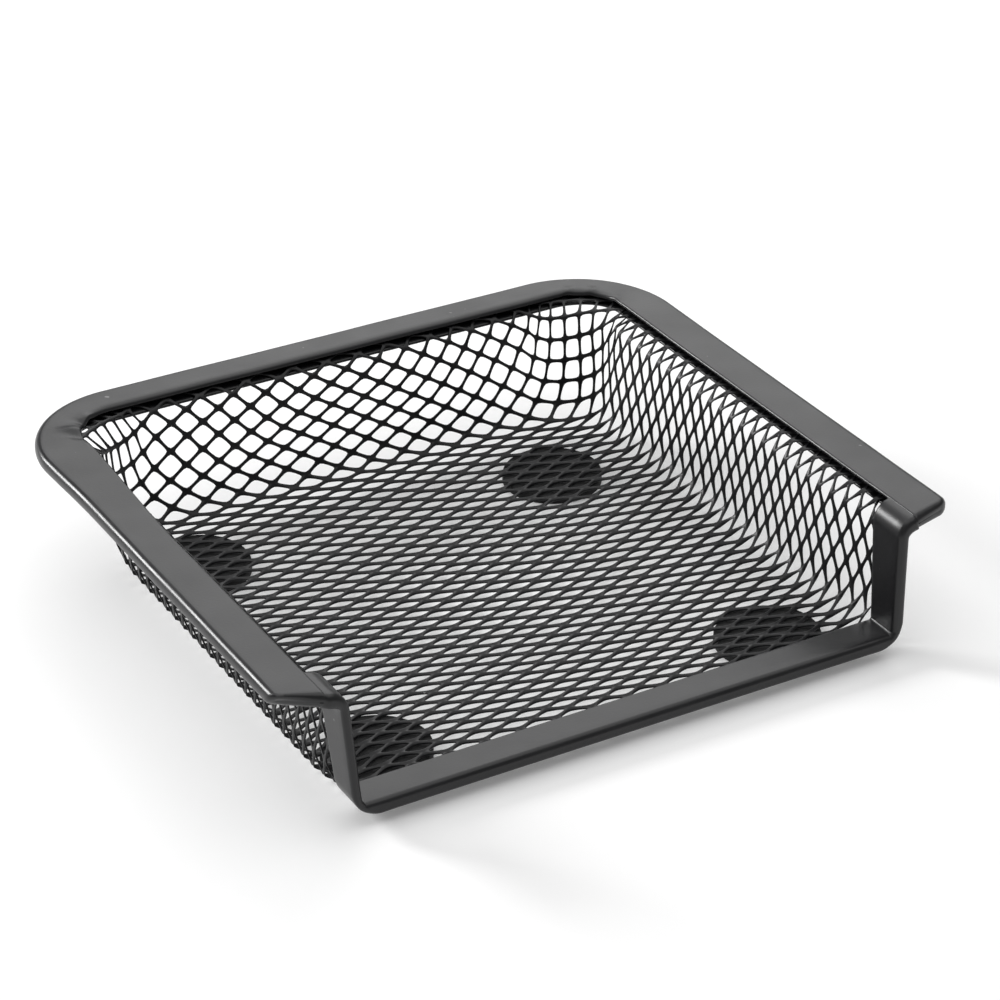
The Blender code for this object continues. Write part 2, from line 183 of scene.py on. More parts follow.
# Front channel.
CHANNEL_FLOOR_LEG = 5.6
CHANNEL_BRIM_LEG = 7.0
CHANNEL_FLOOR_LOW, CHANNEL_FLOOR_TOP = 1.5, 3.75
CHANNEL_WALL_X, CHANNEL_WALL_Z = 45.14, 5.89  # a point of the side's outer face
CHANNEL_WALL_SLOPE = math.radians(3.8)
CHANNEL_SIDE = 1.4  # the sides are pressed flat
CHANNEL_CORNER = 4.4
CHANNEL_INNER_CORNER = 0.5
CHANNEL_INNER_SHORT = 0.97  # the floor's inner face keeps within this share, clear of its corner
CHANNEL_TOP_BEND = 3.2
CHANNEL_FLANGE_TOP = HEIGHT - 0.12
CHANNEL_FLANGE = 2.3  # thickness of the flange
CHANNEL_EDGE = 0.9
CHANNEL_EDGE_CLEAR = 0.05  # what the fold's rounding leaves flat
CHANNEL_BEVEL, CHANNEL_BEVEL_MIDDLE = 0.15, 0.04  # rounding of the legs' edges
SLOT_BEVEL_DEEP, SLOT_BEVEL_WIDE = 0.1, 0.05
CHANNEL_SLOT_LEAST = 0.12  # half the slot, where the legs are pressed together
CHANNEL_END = 49.5
FLANGE_BACK = 2.0  # how far the flange's front slants back under the rim
FLANGE_BACK_X = (47.5, CHANNEL_END)
CHANNEL_LEAN = 1.5 / 18.35
CHANNEL_RIGHT_OUT = 0.25
CHANNEL_RIGHT_THICKER = 0.55
RIGHT_THICKER_X = (35.0, 43.0)

# Foot pads.
PAD_TOP = 2.0
PAD_EDGE = 0.4
PAD_LOW_EDGE = 0.1
PAD_UNDER_MESH = 0.5  # from the middle of the mesh to the pad
PAD_UNDER_CHANNEL = 0.2
PAD_CHANNEL_REACH = 0.5  # the pad stays low this far behind the channel
PAD_SIDES = 64

# Floor, light and camera, in metres.
FLOOR_HALF = 3.0
FLOOR_GAP = 0.00002  # the floor lies a hair below the pads
FLOOR_COLOUR = (0.84, 0.84, 0.84, 1.0)
FLOOR_GLOW = 0.16
WHITE = (1.0, 1.0, 1.0, 1.0)
WORLD_STRENGTH = 0.3
LAMPS = (  # name, place, diameter, power
    ("key", (0.10, 0.12, 0.95), 1.5, 6.5),
    ("back", (0.45, 0.76, 0.60), 0.7, 2.2),
    ("left", (-0.55, 0.80, 0.45), 0.32, 8.0),
)
CAMERA_PLACE = (-0.210523, -0.375690, 0.257918)
CAMERA_DOWN, CAMERA_TURN = 29.3948, -29.8560  # degrees
CAMERA_LENS, CAMERA_SENSOR = 118.761, 36.0


def make_piece(name, points, faces, material, nodes, levels=0, sharp=None):
    """A mesh object from points in millimetres, which rides on the tray and stands for CAD nodes."""
    mesh = bpy.data.meshes.new(name)
    mesh.from_pydata([tuple(p) for p in np.asarray(points) * MM], [], [tuple(f) for f in faces])
    bm = bmesh.new()
    bm.from_mesh(mesh)
    bmesh.ops.recalc_face_normals(bm, faces=bm.faces)
    bm.to_mesh(mesh)
    bm.free()
    mesh.shade_smooth()
    if sharp:
        mesh.set_sharp_from_angle(angle=math.radians(sharp))
    mesh.materials.append(material)
    piece = bpy.data.objects.new(name, mesh)
    bpy.context.scene.collection.objects.link(piece)
    if levels:
        smooth = piece.modifiers.new("smooth", "SUBSURF")
        smooth.levels = smooth.render_levels = levels
    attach(piece, "root")
    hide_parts(*nodes)
    return piece


def arc(centre, radius, start, end, steps):
    """Points on a circle from one angle to another in degrees, both ends included."""
    angles = np.radians(np.linspace(start, end, steps + 1))
    return [(centre[0] + radius * math.cos(a), centre[1] + radius * math.sin(a)) for a in angles]


def smooth_step(low, high, value):
    """0 up to low, 1 from high, and an even S between them. Low may be the larger."""
    t = np.clip((value - low) / (high - low), 0.0, 1.0)
    return t * t * (3 - 2 * t)


def unit(v):
    return v / np.linalg.norm(v, axis=-1, keepdims=True)


def loft(loops):
    """Points and faces of a closed body through closed loops of the same length, capped at both ends."""
    count = len(loops[0])
    points = np.concatenate([np.asarray(loop) for loop in loops])
    faces = []
    for k in range(len(loops) - 1):
        for n in range(count):
            a, b = k * count + n, k * count + (n + 1) % count
            faces.append((a, b, b + count, a + count))
    faces.append(tuple(range(count))[::-1])
    faces.append(tuple(range(len(points) - count, len(points))))
    return points, faces


# Form of the drawn mesh.

def form_section(step=0.05, length=45.0):
    """Places (out, up) every step along the form's section, from the edge of the flat floor outwards."""
    run = np.arange(0.0, length, step)
    turned = 1 - math.cos(WALL_ANGLE)
    wall_run = (BRIM_Z - FLOOR_Z - (FLOOR_BEND + BRIM_BEND) * turned) / math.sin(WALL_ANGLE)
    past_wall = run - FLOOR_BEND * WALL_ANGLE - wall_run
    slope = np.minimum(run / FLOOR_BEND, WALL_ANGLE)
    slope = np.clip(np.minimum(slope, WALL_ANGLE - past_wall / BRIM_BEND), 0.0, WALL_ANGLE)
    middle = (slope[1:] + slope[:-1]) / 2
    out = np.concatenate([[0.0], np.cumsum(np.cos(middle)) * step])
    up = np.concatenate([[0.0], np.cumsum(np.sin(middle)) * step])
    return run, out, up


def from_core(xy):
    """Nearest point of the floor's core, direction from it and distance."""
    core = np.column_stack([np.clip(xy[:, 0], FLAT_LEFT + FLOOR_CORNER, FLAT_RIGHT - FLOOR_CORNER),
                            np.minimum(xy[:, 1], FLAT_BACK - FLOOR_CORNER)])
    toward = xy - core
    reach = np.linalg.norm(toward, axis=1)
    return core, toward / np.maximum(reach, 1e-9)[:, None], reach


def draw_in(flat):
    """The corners' pull on the back of the flat sheet: columns lean in and rows rise towards the corners."""
    up = np.maximum(flat[:, 1] - FLAT_BACK, 0.0) * (1 + BACK_STRETCH)
    past = np.maximum(0.0, np.abs(flat[:, 0]) - DRAW_START + DRAW_SPREAD * up)
    share = np.clip(up / DRAW_RISE, 0.0, 1.0)
    inwards = DRAW_IN * past ** 2 / (1 + (past / DRAW_IN_FADE) ** DRAW_IN_POWER) * share
    upwards = DRAW_UP * past ** 2 / (1 + (past / DRAW_UP_FADE) ** DRAW_UP_POWER) * share
    x = flat[:, 0] - np.where(flat[:, 0] < 0, -LEFT_DRAW, 1.0) * inwards
    y = flat[:, 1] + upwards / (1 + BACK_STRETCH)
    return np.column_stack([x, y])


def wrap(flat):
    """Points of the flat sheet laid over the form."""
    core, toward, reach = from_core(draw_in(flat))
    back = np.maximum(toward[:, 1], 0.0)
    stretch = 1 + BACK_STRETCH * back ** 2 + CORNER_STRETCH * (2 * toward[:, 0] * back) ** 2
    past = np.maximum(reach - FLOOR_CORNER, 0.0) * stretch
    run, out, up = form_section()
    radius = np.minimum(reach, FLOOR_CORNER) + np.interp(past, run, out)
    return np.column_stack([core + toward * radius[:, None], FLOOR_Z + np.interp(past, run, up)])


def rim_inset(x, y):
    """Distance inside the rim's outer edge, and the way towards that edge."""
    toward = np.column_stack([np.sign(x) * np.maximum(np.abs(x) - WIDTH / 2 + RIM_CORNER, 0.0),
                              np.maximum(y - BACK + RIM_CORNER, 0.0)])
    reach = np.linalg.norm(toward, axis=1)
    return RIM_CORNER - reach, toward / np.maximum(reach, 1e-9)[:, None]


def floor_drop(x, y):
    """How far the floor hangs below its edges."""
    across = np.maximum(0.0, 1 - ((x - FLAT_MIDDLE) / FLAT_HALF) ** 2)
    along = np.maximum(0.0, 1 - ((y - SAG_MIDDLE) / SAG_HALF_LENGTH) ** 2)
    tilt = FLOOR_TILT * x * np.minimum(TILT_EDGE * across, 1.0) * np.minimum(TILT_EDGE * along, 1.0)
    return FLOOR_SAG * across * along + tilt


def left_share(x, y):
    """How much of the left wall's sag a place takes."""
    along = smooth_step(*LEFT_SAG_FRONT, y) * (1 - smooth_step(*LEFT_SAG_BACK, y))
    return smooth_step(*LEFT_SAG_X, x) * along


def settle(places):
    """The crossings as they are in the tray: edge inside the rim, floor hanging, front leaning back."""
    x, y, z = places.T
    inset, toward = rim_inset(x, y)
    x, y = (places[:, :2] - toward * np.maximum(SHEET_INSET - inset, 0.0)[:, None]).T
    up = np.maximum(z - FLOOR_Z, 0.0)
    left = left_share(x, y) * (1 - smooth_step(*LEFT_SAG_UP, up))
    z = z - floor_drop(x, y) - LEFT_DROP * left
    flare = FRONT_FLARE * smooth_step(*FLARE_UP, up) * (1 - smooth_step(*FLARE_FADE, y)) * (x > 0)
    y = y + LEAN * up * np.clip((LEAN_END - y) / (LEAN_END - FRONT), 0.0, 1.0)
    return np.column_stack([x + flare - LEFT_FOOT_OUT * left, y, z])


# Net of strand crossings. Crossing (i, j) exists where i + j is even, and a hole where it is odd.

def lay_net():
    """Crossings by (i, j), their places in the flat sheet and on the form."""
    turn = complex(math.cos(LATTICE_TURN), math.sin(LATTICE_TURN))
    ids = {}
    flat = []
    for j in range(FIRST_ROW, ROWS_END):
        for i in range(-COLUMNS, COLUMNS + 1):
            if (i + j) % 2 == 0:
                place = complex(i * HALF_LONG, j * HALF_SHORT) * turn
                ids[i, j] = len(flat)
                flat.append((place.real + LATTICE_START[0], place.imag + LATTICE_START[1]))
    flat = np.array(flat)
    return ids, flat, wrap(flat)


def sheet_front(z):
    """Front edge of the flat sheet, for a height on the form."""
    up = z - FLOOR_Z
    if up < BEND_FROM:
        return SHEET_FRONT
    if up < BEND_TO:
        return BEND_FRONT
    return WALL_FRONT if z < BRIM_Z - BRIM_FROM else BRIM_FRONT


def kept_holes(ids, flat, places):
    """Holes inside the sheet's edges, each as its four crossings: left, front, right, back."""
    holes = []
    for i, j in [(i + 1, j) for i, j in ids]:
        corners = [ids.get(c) for c in ((i - 1, j), (i, j - 1), (i + 1, j), (i, j + 1))]
        if None in corners:
            continue
        x, y, z = places[corners].mean(0)
        inset = rim_inset(np.array([x]), np.array([y]))[0][0]
        if inset > SHEET_INSET and flat[corners, 1].mean() > sheet_front(z):
            holes.append(corners)
    return np.array(holes)


def hole_outlines(places, holes, on_wall):
    """Outline of each hole, two points beside each of its four crossings, and the holes' normals."""
    left, front, right, back = (places[holes[:, k]] for k in range(4))
    across, along = (right - left) / 2, (back - front) / 2
    normal = unit(np.cross(across, along))
    half_long = np.linalg.norm(across, axis=1, keepdims=True)
    half_short = np.linalg.norm(along, axis=1, keepdims=True)
    across, along = across / half_long, along / half_short
    narrow = 1 + (WALL_STRAND - 1) * on_wall
    long_share = np.minimum(half_long / HALF_LONG, STRAND_LARGEST) * narrow
    short_share = np.minimum(half_short / HALF_SHORT, STRAND_LARGEST) * narrow
    bond_long, bond_wide = BOND_HALF_LONG * long_share, BOND_HALF_WIDE * short_share
    end, end_half = HOLE_END * long_share, HOLE_END_HALF * short_share
    rise = along + (STRAND_TILT + (WALL_TILT - STRAND_TILT) * on_wall) * normal
    outlines = np.stack([
        left + across * end + rise * end_half, left + across * end - rise * end_half,
        front - across * bond_long + rise * bond_wide, front + across * bond_long + rise * bond_wide,
        right - across * end - rise * end_half, right - across * end + rise * end_half,
        back + across * bond_long - rise * bond_wide, back - across * bond_long - rise * bond_wide], 1)
    return outlines, normal


def strand_faces(top_node, count):
    """Faces of the strands round each hole, and walls along the sheet's edges.

    The points are the crossings' tops, their undersides, the outlines' tops and their undersides.
    """
    cells = len(top_node)
    low_node = top_node + count
    top_ring = 2 * count + np.arange(cells * 8).reshape(cells, 8)
    low_ring = top_ring + cells * 8
    faces = []
    edges = set()
    for c in range(cells):
        for k in range(4):
            n = (k + 1) % 4
            o, p, q = 2 * k, 2 * k + 1, (2 * k + 2) % 8
            faces.append((top_node[c, k], top_node[c, n], top_ring[c, q], top_ring[c, p]))
            faces.append((low_node[c, n], low_node[c, k], low_ring[c, p], low_ring[c, q]))
            faces.append((top_node[c, k], top_ring[c, p], top_ring[c, o]))
            faces.append((low_node[c, k], low_ring[c, o], low_ring[c, p]))
            faces.append((top_ring[c, o], top_ring[c, p], low_ring[c, p], low_ring[c, o]))
            faces.append((top_ring[c, p], top_ring[c, q], low_ring[c, q], low_ring[c, p]))
            edges.add((top_node[c, k], top_node[c, n]))
    for a, b in sorted(edges):
        if (b, a) not in edges:
            faces.append((b, a, a + count, b + count))
    return faces


def make_mesh(material):
    """The expanded metal: tilted strands that meet in long joints, closed along the sheet's edges."""
    ids, flat, places = lay_net()
    holes = kept_holes(ids, flat, places)
    on_wall = smooth_step(*WALL_BLEND, places[holes, 2].mean(1) - FLOOR_Z)[:, None]
    places = settle(places)
    outlines, normal = hole_outlines(places, holes, on_wall)

    node_normal = np.zeros_like(places)
    for k in range(4):
        np.add.at(node_normal, holes[:, k], normal)
    used, numbers = np.unique(holes, return_inverse=True)
    node_up = unit(node_normal[used]) * STRAND_THICK / 2
    outline_up = normal[:, None] * STRAND_THICK / 2
    points = np.concatenate([places[used] + node_up, places[used] - node_up,
                             (outlines + outline_up).reshape(-1, 3), (outlines - outline_up).reshape(-1, 3)])
    faces = strand_faces(numbers.reshape(holes.shape), len(used))
    make_piece("drawn_mesh", points, faces, material, ["basket"], levels=1)


# Rim. Each station along it has the outer edge, the top leg's inner edge, the lower leg's inner edge,
# the wall of the hollow and the share of the full thickness.

def rim_nose(front, nose, nose_cut):
    """Stations of the rim's right end, from its front."""
    outer_x, inner_x, lower_x = WIDTH / 2, WIDTH / 2 - RIM_TOP_LEG, WIDTH / 2 - RIM_BOTTOM_LEG

    def tip_x(past):
        return outer_x - nose + math.sqrt(max(0.0, nose ** 2 - max(0.0, nose - past) ** 2))

    stations = []
    for past in NOSE_STEPS:
        y = front + past
        slant = nose_cut * (1 - smooth_step(0.0, NOSE_LONG, past))
        outer = tip_x(past)
        hollow = min(outer - STRIP, tip_x(past - STRIP) - STRIP) if past > STRIP else inner_x + NOSE_WALL
        lower = min(lower_x, outer - NOSE_LOWER_IN)
        thick = math.sqrt(max(0.0, RIM_EDGE ** 2 - max(0.0, RIM_EDGE - past) ** 2)) + FOLD / 2 - RIM_EDGE
        stations.append(((outer, y + slant), (inner_x, y), (lower, y), (hollow, y + slant),
                         thick / (FOLD / 2)))
    return stations


def rim_half(front, nose, nose_cut):
    """Stations of the rim from its right nose to the middle of the back."""
    outer_x, inner_x, lower_x = WIDTH / 2, WIDTH / 2 - RIM_TOP_LEG, WIDTH / 2 - RIM_BOTTOM_LEG
    inner_y, lower_y = BACK - RIM_BACK_LEG, BACK - RIM_BACK_BOTTOM
    turn_out = (outer_x - RIM_CORNER, BACK - RIM_CORNER)
    turn_in = (inner_x - RIM_INNER_CORNER, BACK - RIM_BACK_LEG - RIM_INNER_CORNER)
    lower_corner = np.array((lower_x - turn_in[0], lower_y - turn_in[1]))
    stations = rim_nose(front, nose, nose_cut)
    for y in np.arange(front + SIDE_FROM, SIDE_TO, RIM_STEP):
        stations.append(((outer_x, y), (inner_x, y), (lower_x, y), (outer_x - STRIP, y), 1.0))
    for t in np.linspace(0.0, 1.0, 9)[:-1]:
        y, y_in = SIDE_TO + (turn_out[1] - SIDE_TO) * t, SIDE_TO + (turn_in[1] - SIDE_TO) * t
        stations.append(((outer_x, y), (inner_x, y_in), (lower_x, y_in), (outer_x - STRIP, y), 1.0))
    for angle in np.radians(np.linspace(0.0, 90.0, 41)):
        way = np.array((math.cos(angle), math.sin(angle)))
        stations.append((turn_out + RIM_CORNER * way, turn_in + RIM_INNER_CORNER * way,
                         turn_in + lower_corner * way, turn_out + (RIM_CORNER - STRIP) * way, 1.0))
    for t in np.linspace(1.0, 0.0, 9)[1:]:
        x, x_in = BACK_HALF + (turn_out[0] - BACK_HALF) * t, BACK_HALF + (turn_in[0] - BACK_HALF) * t
        stations.append(((x, BACK), (x_in, inner_y), (x_in, lower_y), (x, BACK - STRIP), 1.0))
    for x in np.arange(BACK_HALF - RIM_STEP, -1.0, -RIM_STEP):
        stations.append(((x, BACK), (x, inner_y), (x, lower_y), (x, BACK - STRIP), 1.0))
    return stations


def rim_stations():
    """Stations of the whole rim, from its right end round the back to its left end."""
    left = []
    for outer, inner, lower, hollow, thick in rim_half(LEFT_FRONT, LEFT_NOSE, LEFT_NOSE_CUT)[-2::-1]:
        pull = LEFT_OUTER_IN * smooth_step(*LEFT_IN_X, outer[0]) * (1 - smooth_step(*LEFT_IN_FADE, outer[1]))
        wider = LEFT_BACK_WIDER * smooth_step(*LEFT_WIDER_Y, inner[1]) * smooth_step(*LEFT_WIDER_X, inner[0])
        left.append(((pull - outer[0], outer[1]), (wider - inner[0], inner[1]), (-lower[0], lower[1]),
                     (pull - hollow[0], hollow[1]), thick))
    return rim_half(RIGHT_FRONT, RIGHT_NOSE, RIGHT_NOSE_CUT) + left


def rim_section(width, lower, hollow):
    """Closed section of the rim as (distance from the outer edge, height)."""
    top, low = HEIGHT, HEIGHT - FOLD
    inner_edge = [(width - CUT_BEVEL, top - STRIP), (width, top - STRIP + CUT_BEVEL),
                  (width, top - INNER_BEVEL), (width - INNER_BEVEL_MIDDLE, top - INNER_BEVEL_MIDDLE),
                  (width - INNER_BEVEL, top)]
    plate = [(width + (RIM_EDGE - width) * t, top) for t in np.linspace(0.07, 0.93, 13)]
    fold = arc((RIM_EDGE, top - RIM_EDGE), RIM_EDGE, 90, 180, 7)
    fold += arc((RIM_EDGE, low + RIM_EDGE), RIM_EDGE, 180, 270, 7)
    lower_edge = [(lower - LOWER_BEVEL, low), (lower, low + LOWER_BEVEL),
                  (lower, low + STRIP - CUT_BEVEL), (lower - CUT_BEVEL, low + STRIP)]
    inside = [(hollow, low + STRIP), (hollow, top - STRIP)]
    under = [(hollow + (width - hollow) * t, top - STRIP) for t in (0.25, 0.5, 0.75)]
    return np.array(inner_edge + plate + fold + lower_edge + inside + under)


def rim_dents(x, y):
    """Rise of the rim's top: puckers where it is gathered round the inner corners, and a faint unevenness."""
    rise = UNEVEN * noise.noise(Vector((x * UNEVEN_SCALE, y * UNEVEN_SCALE, UNEVEN_LAYER)))
    for at_x, at_y, direction, half_long, half_wide, height in PUCKERS:
        a = math.radians(direction)
        along = (x - at_x) * math.cos(a) + (y - at_y) * math.sin(a)
        across = (y - at_y) * math.cos(a) - (x - at_x) * math.sin(a)
        rise += height * math.exp(-(along / half_long) ** 2 - (across / half_wide) ** 2)
    return rise


def rim_loop(outer, inner, lower, hollow, thick):
    """Section of the rim at a station, with its dents, the curl of the back and the cut of the left end."""
    pushed = np.array((RIGHT_OUTER_OUT * smooth_step(*RIGHT_OUT_X, outer[0]),
                       BACK_OUTER_OUT * smooth_step(*BACK_OUT_Y, outer[1])))
    outer, inner, hollow = outer + pushed, np.array(inner), hollow + pushed
    width = np.linalg.norm(inner - outer)
    way = (inner - outer) / width
    section = rim_section(width, (np.array(lower) - outer) @ way, (np.array(hollow) - outer) @ way)
    plan = outer + section[:, :1] * way
    height = BRIM_Z + (section[:, 1] - BRIM_Z) * thick
    share = np.clip((section[:, 1] - BRIM_Z) / (FOLD / 2), 0.0, 1.0)
    height = height + share * [rim_dents(x, y) for x, y in plan]
    curl = np.clip((section[:, 0] - width + BACK_DROOP_WIDE) / BACK_DROOP_WIDE, 0.0, 1.0) ** 2
    height = height - BACK_DROOP * curl * smooth_step(*BACK_DROOP_Y, plan[:, 1]) * (section[:, 1] > BRIM_Z)
    fade = smooth_step(LEFT_FRONT, LEFT_FRONT + NOSE_LONG, plan[:, 1])
    cut = smooth_step(*LEFT_CUT_X, plan[:, 0]) * (1 - fade)
    plan[:, 1] += LEFT_LOWER_CUT * cut * np.clip((HEIGHT - height) / FOLD, 0.0, 1.0)
    return np.column_stack([plan, height])


def make_rim(material):
    """The folded strip round the sides and the back."""
    points, faces = loft([rim_loop(*station) for station in rim_stations()])
    make_piece("folded_rim", points, faces, material, ["rim"], sharp=50)


# Front channel.

def channel_half():
    """Right half of the channel's front view: pairs of points (x, z) on its inner and outer faces."""
    slope = math.tan(CHANNEL_WALL_SLOPE)
    lean = math.degrees(CHANNEL_WALL_SLOPE)

    def outer_x(z):
        return CHANNEL_WALL_X + (z - CHANNEL_WALL_Z) * slope

    side = CHANNEL_SIDE / math.cos(CHANNEL_WALL_SLOPE)
    corner_x = outer_x(CHANNEL_FLOOR_TOP) - side
    centre_z = CHANNEL_FLOOR_LOW + CHANNEL_CORNER
    touch_z = centre_z - CHANNEL_CORNER * math.sin(CHANNEL_WALL_SLOPE)
    centre_x = outer_x(touch_z) - CHANNEL_CORNER * math.cos(CHANNEL_WALL_SLOPE)
    pairs = []
    for t in np.linspace(0.0, 1.0, 21)[:-1]:
        inner = (corner_x * t * CHANNEL_INNER_SHORT, CHANNEL_FLOOR_TOP)
        pairs.append((inner, (centre_x * t, CHANNEL_FLOOR_LOW)))
    inner_centre = (corner_x - CHANNEL_INNER_CORNER, CHANNEL_FLOOR_TOP + CHANNEL_INNER_CORNER)
    inner_turn = arc(inner_centre, CHANNEL_INNER_CORNER, -90, -lean, 14)
    outer_turn = arc((centre_x, centre_z), CHANNEL_CORNER, -90, -lean, 14)
    pairs += list(zip(inner_turn, outer_turn))
    top_z = CHANNEL_FLANGE_TOP - CHANNEL_TOP_BEND
    bend_z = top_z + CHANNEL_TOP_BEND * math.sin(CHANNEL_WALL_SLOPE)
    bend_x = outer_x(bend_z) - side + CHANNEL_TOP_BEND * math.cos(CHANNEL_WALL_SLOPE)
    for t in np.linspace(0.0, 1.0, 9)[1:-1]:
        z_in = inner_turn[-1][1] + (bend_z - inner_turn[-1][1]) * t
        z_out = touch_z + (bend_z - touch_z) * t
        pairs.append(((outer_x(z_in) - side, z_in), (outer_x(z_out), z_out)))
    inner_bend = arc((bend_x, top_z), CHANNEL_TOP_BEND, 180 - lean, 90, 12)
    flatter = (CHANNEL_TOP_BEND - CHANNEL_FLANGE) / (CHANNEL_TOP_BEND - CHANNEL_SIDE)
    outer_bend = [(x, top_z + (z - top_z) * flatter)
                  for x, z in arc((bend_x, top_z), CHANNEL_TOP_BEND - CHANNEL_SIDE, 180 - lean, 90, 12)]
    pairs += list(zip(inner_bend, outer_bend))
    for x in np.linspace(bend_x, CHANNEL_END, 5)[1:]:
        pairs.append(((x, CHANNEL_FLANGE_TOP), (x, CHANNEL_FLANGE_TOP - CHANNEL_FLANGE)))
    return pairs


def channel_section(depth, thick):
    """Closed section of the channel as (share from the inner to the outer face, distance from the front)."""
    half = thick / 2
    slot = max(half - STRIP, CHANNEL_SLOT_LEAST)
    edge = min(CHANNEL_EDGE, half - CHANNEL_EDGE_CLEAR)
    inner_edge = [(-slot, depth - SLOT_BEVEL_DEEP), (-slot - SLOT_BEVEL_WIDE, depth),
                  (-half + CHANNEL_BEVEL, depth),
                  (-half + CHANNEL_BEVEL_MIDDLE, depth - CHANNEL_BEVEL_MIDDLE),
                  (-half, depth - CHANNEL_BEVEL)]
    inner = [(-half, edge + (depth - edge) * t) for t in (0.9, 0.7, 0.45, 0.2)]
    fold = arc((edge - half, edge), edge, 180, 270, 6) + arc((half - edge, edge), edge, 270, 360, 6)
    outer = [(-n, y) for n, y in reversed(inner_edge + inner)]
    section = np.array(inner_edge + inner + fold + outer + [(slot, STRIP), (-slot, STRIP)])
    section[:, 0] = section[:, 0] / thick + 0.5
    return section


def channel_loop(inner, outer):
    """Section of the channel between a pair of points of its front view."""
    up = ((inner + outer)[1] / 2 - CHANNEL_FLOOR_LOW) / (BRIM_Z - CHANNEL_FLOOR_LOW)
    depth = CHANNEL_FLOOR_LEG + (CHANNEL_BRIM_LEG - CHANNEL_FLOOR_LEG) * up
    section = channel_section(depth, np.linalg.norm(outer - inner))
    xs, zs = (inner + (outer - inner) * section[:, :1]).T
    ys = FRONT + section[:, 1] + CHANNEL_LEAN * (zs - CHANNEL_FLOOR_LOW)
    ys = ys + FLANGE_BACK * smooth_step(*FLANGE_BACK_X, abs(inner[0]))
    return np.column_stack([xs, ys, zs])


def make_channel(material):
    """The folded strip along the front, whose right side is a little thicker and further out."""
    half = channel_half()
    right = [np.array(pair) * (1 + CHANNEL_RIGHT_OUT / CHANNEL_WALL_X, 1.0) for pair in half]
    for _, outer in right:
        outer[0] += CHANNEL_RIGHT_THICKER * smooth_step(*RIGHT_THICKER_X, outer[0])
    left = [np.array(pair) * (-1.0, 1.0) for pair in half[:0:-1]]
    points, faces = loft([channel_loop(inner, outer) for inner, outer in left + right])
    make_piece("folded_channel", points, faces, material, ["front_channel"], sharp=50)


# Foot pads.

def pad_roof(x, y):
    """Height of a pad's top, which follows the underside of the mesh and the channel."""
    at = np.array([x]), np.array([y])
    mesh_z = FLOOR_Z - PAD_UNDER_MESH - float(floor_drop(*at)[0]) - LEFT_DROP * float(left_share(*at)[0])
    roof = min(PAD_TOP, mesh_z)
    if y < FRONT + CHANNEL_FLOOR_LEG + PAD_CHANNEL_REACH:
        roof = min(roof, CHANNEL_FLOOR_LOW - PAD_UNDER_CHANNEL)
    return roof


def make_pad(node, material):
    """A round stick-on pad whose top follows the mesh above it."""
    low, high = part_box(node)
    x0, y0 = (low.x + high.x) / 2 / MM, (low.y + high.y) / 2 / MM
    radius = (high.x - low.x) / 2 / MM
    # Rings from the middle of the top to the middle of the underside: radius, share of the roof, rise.
    rings = [(r, 1.0, 0.0) for r in (0.0, 2.0, 4.0, 6.0, radius - PAD_EDGE)]
    rounding = arc((0.0, 0.0), PAD_EDGE, 90, 0, 4)[1:]
    rings += [(radius - PAD_EDGE + x, 1.0, z - PAD_EDGE) for x, z in rounding]
    rings += [(radius, 0.0, PAD_LOW_EDGE), (radius - PAD_LOW_EDGE, 0.0, 0.0), (radius - 1.0, 0.0, 0.0),
              (0.0, 0.0, 0.0)]
    points = []
    faces = []
    for r, share, rise in rings:
        for n in range(PAD_SIDES):
            a = 2 * math.pi * n / PAD_SIDES
            x, y = x0 + r * math.cos(a), y0 + r * math.sin(a)
            points.append((x, y, share * pad_roof(x, y) + rise))
    for k in range(len(rings) - 1):
        for n in range(PAD_SIDES):
            a, b = k * PAD_SIDES + n, k * PAD_SIDES + (n + 1) % PAD_SIDES
            faces.append((a, b, b + PAD_SIDES, a + PAD_SIDES))
    piece = make_piece(node.replace("foot", "pad"), points, faces, material, [node], sharp=60)
    # The rings of radius 0 become single points.
    bm = bmesh.new()
    bm.from_mesh(piece.data)
    bmesh.ops.remove_doubles(bm, verts=bm.verts, dist=1e-6)
    bmesh.ops.recalc_face_normals(bm, faces=bm.faces)
    bm.to_mesh(piece.data)
    bm.free()


# Materials.

def node_material(name, gloss):
    material = bpy.data.materials.new(name)
    material.use_nodes = True
    tree = material.node_tree
    shader = tree.nodes["Principled BSDF"]
    shader.inputs["Specular IOR Level"].default_value = gloss
    return material, tree, shader


def noise_node(tree, scale, detail):
    where = tree.nodes.new("ShaderNodeTexCoord")
    node = tree.nodes.new("ShaderNodeTexNoise")
    node.inputs["Scale"].default_value = scale
    node.inputs["Detail"].default_value = detail
    tree.links.new(where.outputs["Object"], node.inputs["Vector"])
    return node.outputs["Fac"]


def ramp_node(tree, value, low, high, from_low=0.3, from_high=0.7):
    node = tree.nodes.new("ShaderNodeMapRange")
    node.inputs["From Min"].default_value = from_low
    node.inputs["From Max"].default_value = from_high
    node.inputs["To Min"].default_value = low
    node.inputs["To Max"].default_value = high
    tree.links.new(value, node.inputs["Value"])
    return node.outputs["Result"]


def colour_node(tree, value, dark, light):
    """A mix of two colours, of which the first can be another node's output."""
    node = tree.nodes.new("ShaderNodeMix")
    node.data_type = "RGBA"
    if isinstance(dark, tuple):
        node.inputs["A"].default_value = (*dark, 1.0)
    else:
        tree.links.new(dark, node.inputs["A"])
    node.inputs["B"].default_value = (*light, 1.0)
    tree.links.new(value, node.inputs["Factor"])
    return node.outputs["Result"]


def bump_node(tree, value, strength, distance):
    node = tree.nodes.new("ShaderNodeBump")
    node.inputs["Strength"].default_value = strength
    node.inputs["Distance"].default_value = distance
    tree.links.new(value, node.inputs["Height"])
    return node.outputs["Normal"]


